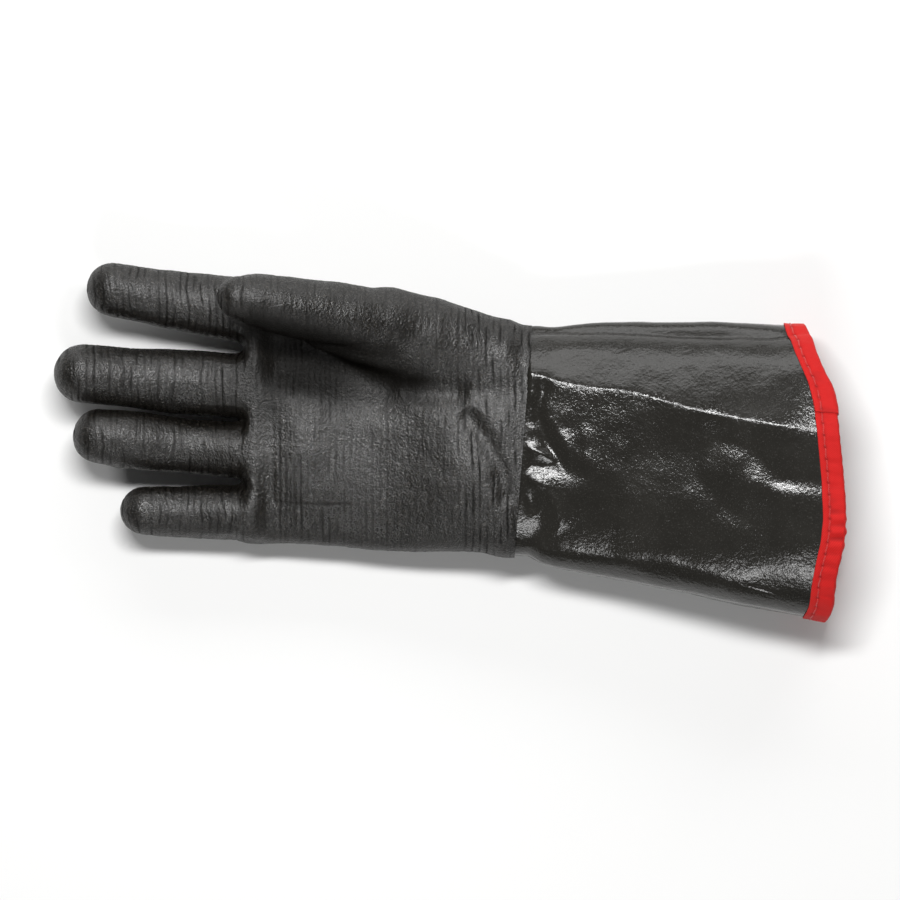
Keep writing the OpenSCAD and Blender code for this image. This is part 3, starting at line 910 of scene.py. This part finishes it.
def build_binding(material):
    turn, at, whole = even_turns(LAP_TURN, LAP_L, TAPE_STEP)
    profile = tape_profile()
    backs, which = np.unique(profile[:, 0], return_inverse=True)
    points, normal, to_edge = (grid[:, which] for grid in cuff_frames(turn, backs))
    lift = LAP_LIFT * smooth((at - whole + 9) / 7)
    lift = lift[:, None] * np.ones(len(profile))
    seen = (np.abs(profile[:, 2] + SHEET_T / 2) > SHEET_T / 2 + TAPE_T) | (profile[:, 1] > 1)
    relief, shade = tape_relief(at[:, None] + 0 * lift, profile[:, 0] + 0 * lift, points[..., 1])
    relief *= seen
    # The first edge runs a little unevenly
    wave = 0.25 * Noise(43)(np.stack([at / 9, 0 * at, 0 * at], axis=1))[:, None]
    wave = wave * (profile[:, 0] > TAPE_W - 1)
    past_edge = profile[:, 1] + (lift + relief * (profile[:, 1] > 0)) * profile[:, 3] - wave
    out = profile[:, 2] + (lift + relief) * profile[:, 4]
    points = points + to_edge * past_edge[..., None] + normal * out[..., None]
    stations, m = points.shape[:2]
    across = LEG_STEP * np.arange(1, m + 1)
    grain = np.stack([at[:, None] + 0 * lift, across + 0 * lift, 0 * lift], axis=-1)
    caps = [np.arange(m)[::-1], (stations - 1) * m + np.arange(m)]
    # The tape's painted shade goes on the mesh for its material to darken
    piece = new_mesh("cuff_tape", points.reshape(-1, 3), tube_quads(stations, m), end_cap(m, caps),
                     grain=grain.reshape(-1, 3), crease_and_painted_shade=(shade * seen).ravel())
    piece.data.materials.append(material)
    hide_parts("cuff_binding")
    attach(piece, "gauntlet")


def end_cap(m, caps):
    """Triangles over the tape's two cut ends: its section folds in two, so face joins hidden face."""
    legs = int(TAPE_W / LEG_STEP) + 1
    seen_count = 2 * legs + EDGE_POINTS
    hidden = m - seen_count
    triangles = []
    for ring in caps:
        # Strip between the seen run and the hidden run, walked from both ends of the loop
        i, j = 0, m - 1
        while i < j - 1:
            if i / seen_count <= (m - 1 - j) / hidden:
                triangles.append((ring[i], ring[i + 1], ring[j]))
                i += 1
            else:
                triangles.append((ring[i], ring[j - 1], ring[j]))
                j -= 1
    return np.array(triangles)


# Quads over the eight-sided end of a thread
OCTAGON = np.array([(0, 1, 2, 3), (0, 3, 4, 7), (4, 5, 6, 7)])


def build_stitches(material):
    """A tube from each stitch hole to the next, outside and inside."""
    turn, at, whole = even_turns(LAP_TURN, 0, 0.2)
    count = int(whole / STITCH_PITCH)
    rings, sides = 12, 8
    s = (np.arange(count)[:, None] + np.linspace(0.06, 0.94, rings)) * STITCH_PITCH
    turns = np.interp(s.ravel(), at, turn)
    points, normal, to_edge = (g[:, 0] for g in cuff_frames(turns, np.array([STITCH_BACK])))
    t = np.tile(np.linspace(0, 1, rings), count)
    rise = -0.42 + 0.40 * smooth(np.minimum(t, 1 - t) / 0.22)
    lean = 0.12 * np.sin(2 * math.pi * t)
    lapped = LAP_LIFT * smooth((s.ravel() - whole + 9) / 7) + LAP_LIFT * (s.ravel() < LAP_L)
    all_points, all_quads = [], []
    turn_angle = 2 * math.pi * np.arange(sides) / sides
    for side, level in ((1, TAPE_GAP + TAPE_T), (-1, SHEET_T + TAPE_GAP + TAPE_T)):
        centre = points + normal * (side * (level + rise + lapped))[:, None] + to_edge * lean[:, None]
        ring = normal[:, None] * np.sin(turn_angle)[:, None] + to_edge[:, None] * np.cos(turn_angle)[:, None]
        tube = centre[:, None] + THREAD_R * ring
        shift = sum(len(p) for p in all_points)
        all_points.append(tube.reshape(-1, 3))
        for k in range(count):
            base = shift + k * rings * sides
            all_quads.append(base + tube_quads(rings, sides)[:, ::-1])
            for r, order in ((0, 1), (rings - 1, -1)):
                loop = (base + r * sides + np.arange(sides))[::order]
                all_quads.append(loop[OCTAGON])
    piece = new_mesh("cuff_thread", np.concatenate(all_points), np.concatenate(all_quads))
    piece.data.materials.append(material)
    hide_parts("binding_stitches")
    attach(piece, "gauntlet")


# ---- materials


class Shader:
    """A node material, built by adding nodes and wiring their inputs by name."""

    def __init__(self, name, at_rest=True):
        self.material = bpy.data.materials.new(name)
        self.material.use_nodes = True
        self.tree = self.material.node_tree
        self.surface = self.tree.nodes["Principled BSDF"]
        if at_rest:
            self.coords = self.node("ShaderNodeAttribute", attribute_name="grain").outputs["Vector"]
        else:
            here = self.node("ShaderNodeTexCoord").outputs["Object"]
            self.coords = self.scaled(here, (1000, 1000, 1000))

    def node(self, kind, inputs=None, **settings):
        node = self.tree.nodes.new(kind)
        for key, value in settings.items():
            setattr(node, key, value)
        for key, value in (inputs or {}).items():
            self.feed(node.inputs[key], value)
        return node

    def feed(self, socket, value):
        if isinstance(value, bpy.types.NodeSocket):
            self.tree.links.new(value, socket)
        else:
            socket.default_value = value

    def scaled(self, vector, by, turn=(0, 0, 0)):
        inputs = {"Vector": vector, "Scale": by, "Rotation": turn}
        return self.node("ShaderNodeMapping", inputs).outputs["Vector"]

    def noise(self, size, detail, rough):
        """Noise whose features are about `size` millimetres."""
        inputs = {"Vector": self.coords, "Scale": 1 / size, "Detail": detail, "Roughness": rough}
        return self.node("ShaderNodeTexNoise", inputs).outputs["Fac"]

    def cells(self, size, feature="F1"):
        """Distance to the middle of cells about `size` millimetres wide."""
        inputs = {"Vector": self.coords, "Scale": 1 / size}
        return self.node("ShaderNodeTexVoronoi", inputs, feature=feature).outputs["Distance"]

    def wave(self, size, turn):
        """Stripes `size` millimetres apart, turned by the three angles."""
        inputs = {"Vector": self.scaled(self.coords, (1, 1, 1), turn), "Scale": math.pi / 10 / size}
        return self.node("ShaderNodeTexWave", inputs).outputs["Fac"]

    def math(self, kind, a, b=0.0, clamp=False):
        return self.node("ShaderNodeMath", {0: a, 1: b}, operation=kind, use_clamp=clamp).outputs[0]

    def span(self, value, low, high, to_low=0.0, to_high=1.0):
        """A value's span from low to high, brought to another."""
        inputs = {"Value": value, "From Min": low, "From Max": high, "To Min": to_low, "To Max": to_high}
        return self.node("ShaderNodeMapRange", inputs).outputs["Result"]

    def colour(self, factor, a, b):
        node = self.node("ShaderNodeMix", {"Factor": factor}, data_type="RGBA")
        self.feed(node.inputs[6], (*a, 1) if isinstance(a, tuple) else a)
        self.feed(node.inputs[7], (*b, 1) if isinstance(b, tuple) else b)
        return node.outputs[2]

    def bump(self, height, depth):
        """Bump of `depth` millimetres."""
        inputs = {"Height": height, "Distance": depth * MM, "Strength": 1.0}
        return self.node("ShaderNodeBump", inputs).outputs["Normal"]

    def edge_sheen(self, facing, grazing):
        """Specular level that falls from `facing` to `grazing` where the surface turns away from the eye."""
        turned = self.node("ShaderNodeLayerWeight", {"Blend": 0.5}).outputs["Facing"]
        return self.span(turned, 0.25, 0.85, facing, grazing)

    def finish(self, **inputs):
        for key, value in inputs.items():
            self.feed(self.surface.inputs[key.replace("_", " ")], value)
        return self.material


def coat_material():
    """Rough black rubber: satin, grainy, with tiny glints, and painted shade darkening the creases across
    it, its seams and the hollows by the thumb.
    """
    s = Shader("rough_coat")
    crease_and_painted_shade = s.node("ShaderNodeAttribute", attribute_name="crease_and_painted_shade").outputs["Fac"]
    grain = s.noise(0.95, 3.0, 0.72)
    flakes = s.cells(0.9)
    worn = s.noise(24.0, 3.0, 0.6)
    base = s.colour(worn, (0.0030, 0.0026, 0.0020), (0.0080, 0.0070, 0.0056))
    base = s.colour(s.span(grain, 0.52, 0.72), base, (0.050, 0.044, 0.037))
    # Painted shade: the colour darkens in the creases, along the seams, beside the thumb and under its edge
    base = s.colour(crease_and_painted_shade, base, (0.003, 0.0026, 0.002))
    rough = s.math("ADD", s.span(worn, 0.3, 0.7, 0.24, 0.31), s.span(grain, 0.35, 0.7, 0.06, -0.07))
    rough = s.math("ADD", rough, s.math("MULTIPLY", crease_and_painted_shade, 0.25), True)
    height = s.math("SUBTRACT", grain, s.math("MULTIPLY", flakes, 0.45))
    shine = s.math("MULTIPLY", s.edge_sheen(0.62, 0.03), s.span(crease_and_painted_shade, 0, 1, 1, 0.12))
    return s.finish(Base_Color=base, Roughness=rough, Normal=s.bump(height, 0.30), IOR=1.5,
                    Specular_IOR_Level=shine)


def gauntlet_material():
    """Smooth black rubber with a soft shine, over cloth that shows through as small pebbles."""
    s = Shader("gloss_coat")
    pebble = s.cells(1.1, "SMOOTH_F1")
    speck = s.noise(0.6, 2.0, 0.6)
    worn = s.noise(30.0, 4.0, 0.6)
    base = s.colour(worn, (0.0110, 0.0103, 0.0088), (0.0240, 0.0224, 0.0192))
    base = s.colour(s.span(speck, 0.60, 0.78), base, (0.060, 0.057, 0.051))
    rough = s.math("ADD", s.span(worn, 0.3, 0.7, 0.13, 0.19), s.span(speck, 0.3, 0.7, -0.03, 0.05))
    height = s.math("ADD", s.math("MULTIPLY", pebble, -0.7), s.math("MULTIPLY", speck, 0.8))
    return s.finish(Base_Color=base, Roughness=rough, Normal=s.bump(height, 0.11), IOR=1.5)


def tape_material():
    """Red twill: fine diagonal ribs crossed by threads, darker down in the weave, with painted shade at the
    stitches and in the puckers.
    """
    s = Shader("red_tape")
    ribs = s.wave(0.62, (0, 0, math.radians(52)))
    threads = s.wave(0.42, (0, 0, math.radians(-12)))
    weave = s.math("MULTIPLY", s.math("ADD", s.math("MULTIPLY", ribs, 0.7), 0.3),
                   s.math("ADD", s.math("MULTIPLY", threads, 0.4), 0.6))
    patch = s.noise(11.0, 3.0, 0.6)
    crease_and_painted_shade = s.node("ShaderNodeAttribute", attribute_name="crease_and_painted_shade").outputs["Fac"]
    base = s.colour(patch, (0.60, 0.007, 0.006), (0.76, 0.014, 0.011))
    base = s.colour(s.span(weave, 0.15, 0.8), (0.40, 0.003, 0.003), base)
    # Painted shade in the stitch dimples, along the stitch line and in the puckers' hollows
    base = s.colour(crease_and_painted_shade, base, (0.16, 0.002, 0.003))
    fuzz = s.noise(0.35, 2.0, 0.7)
    height = s.math("ADD", weave, s.math("MULTIPLY", fuzz, 0.3))
    return s.finish(Base_Color=base, Roughness=0.72, Normal=s.bump(height, 0.16), Sheen_Weight=0.15,
                    Sheen_Roughness=0.4, Sheen_Tint=(1.0, 0.3, 0.25, 1), Specular_IOR_Level=0.3)


def thread_material():
    """Twisted red thread."""
    s = Shader("red_thread")
    twist = s.wave(0.5, (0.4, 0.7, 0.8))
    base = s.colour(twist, (0.40, 0.005, 0.005), (0.62, 0.012, 0.010))
    return s.finish(Base_Color=base, Roughness=0.6, Normal=s.bump(twist, 0.08), Sheen_Weight=0.3)


def knit_material(name, at_rest):
    """Grey knitted lining: rows of small loops."""
    s = Shader(name, at_rest)
    rows = s.wave(1.5, (0, 0, math.radians(90)))
    columns = s.wave(1.2, (0, 0, 0))
    loops = s.math("MULTIPLY", s.math("ADD", rows, 0.3), s.math("ADD", columns, 0.3))
    patch = s.noise(14.0, 3.0, 0.6)
    base = s.colour(patch, (0.16, 0.16, 0.165), (0.24, 0.235, 0.23))
    base = s.colour(s.span(loops, 0.1, 0.9), (0.06, 0.06, 0.062), base)
    fuzz = s.noise(0.4, 2.0, 0.7)
    height = s.math("ADD", loops, s.math("MULTIPLY", fuzz, 0.5))
    return s.finish(Base_Color=base, Roughness=0.85, Normal=s.bump(height, 0.35), Sheen_Weight=0.4)


def foam_material():
    """Off-white insulation with small pores."""
    s = Shader("insulation")
    pores = s.cells(0.9)
    patch = s.noise(9.0, 3.0, 0.6)
    base = s.colour(patch, (0.62, 0.58, 0.48), (0.75, 0.72, 0.63))
    base = s.colour(s.span(pores, 0.0, 0.35), (0.38, 0.34, 0.27), base)
    return s.finish(Base_Color=base, Roughness=0.9, Normal=s.bump(pores, 0.4))


def floor_material():
    s = Shader("floor", False)
    patch = s.noise(300.0, 3.0, 0.5)
    base = s.colour(patch, (0.80, 0.80, 0.795), (0.83, 0.83, 0.825))
    return s.finish(Base_Color=base, Roughness=0.6)


def dress_seam(material):
    """The wrist's seam stays as the CAD model has it."""
    mesh = frame["nodes"]["wrist_seam"].data
    mesh.materials.clear()
    mesh.materials.append(material)


# ---- stage

# The picture's middle, its width at the height of the glove's middle, and the camera's height
FRAME_CENTRE = (-0.0324, -0.0054)
FRAME_WIDTH = 0.405
FRAME_LEVEL = 0.022
CAMERA_UP = 4.0
SENSOR_W = 36
FLOOR_HALF = 1.6
# Strength of the surroundings as a light, and as the camera sees them
WORLD_LIGHT, BACKDROP = 0.06, 0.85


def build_floor(material, level):
    mesh = bpy.data.meshes.new("floor")
    corners = [(-FLOOR_HALF, -FLOOR_HALF), (FLOOR_HALF, -FLOOR_HALF), (FLOOR_HALF, FLOOR_HALF),
               (-FLOOR_HALF, FLOOR_HALF)]
    mesh.from_pydata([(x, y, level) for x, y in corners], [], [(0, 1, 2, 3)])
    floor = bpy.data.objects.new("floor", mesh)
    floor.data.materials.append(material)
    bpy.context.collection.objects.link(floor)


def add_area(name, at, to, size, power):
    data = bpy.data.lights.new(name, "AREA")
    data.shape = "RECTANGLE"
    data.size, data.size_y = size
    data.energy = power
    light = bpy.data.objects.new(name, data)
    light.location = at
    light.rotation_euler = (Vector(to) - Vector(at)).to_track_quat("-Z", "Y").to_euler()
    bpy.context.collection.objects.link(light)


def build_lights():
    world = bpy.context.scene.world or bpy.data.worlds.new("studio")
    bpy.context.scene.world = world
    world.use_nodes = True
    tree = world.node_tree
    background = tree.nodes["Background"]
    background.inputs["Color"].default_value = (1, 1, 1, 1)
    seen = tree.nodes.new("ShaderNodeLightPath").outputs["Is Camera Ray"]
    strength = tree.nodes.new("ShaderNodeMapRange")
    strength.inputs["To Min"].default_value = WORLD_LIGHT
    strength.inputs["To Max"].default_value = BACKDROP
    tree.links.new(seen, strength.inputs["Value"])
    tree.links.new(strength.outputs["Result"], background.inputs["Strength"])
    middle = (*FRAME_CENTRE, FRAME_LEVEL)
    add_area("key", (-0.12, 0.54, 1.58), middle, (0.8, 0.20), 27)
    add_area("far_light", (-0.05, -1.15, 1.25), middle, (0.6, 0.24), 8)
    add_area("wall", (0.1, 1.7, 0.8), middle, (2.4, 0.8), 18)
    bpy.context.scene.view_settings.view_transform = "Standard"


def build_camera():
    data = bpy.data.cameras.new("camera")
    data.sensor_width = SENSOR_W
    distance = CAMERA_UP - FRAME_LEVEL
    data.lens = SENSOR_W * distance / FRAME_WIDTH
    camera = bpy.data.objects.new("camera", data)
    camera.location = (*FRAME_CENTRE, CAMERA_UP)
    bpy.context.collection.objects.link(camera)
    bpy.context.scene.camera = camera


# ---- build

knit = knit_material("knit_lining", True)
hand, labels = shape_hand()
build_coat(hand, labels, coat_material())
build_layer(hand, labels, "insulation", foam_material())
build_layer(hand, labels, "lining", knit)
build_gauntlet(gauntlet_material(), knit)
build_binding(tape_material())
build_stitches(thread_material())
dress_seam(knit_material("seam_thread", False))
object_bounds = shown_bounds()
build_floor(floor_material(), object_bounds[0][2])
build_lights()
build_camera()
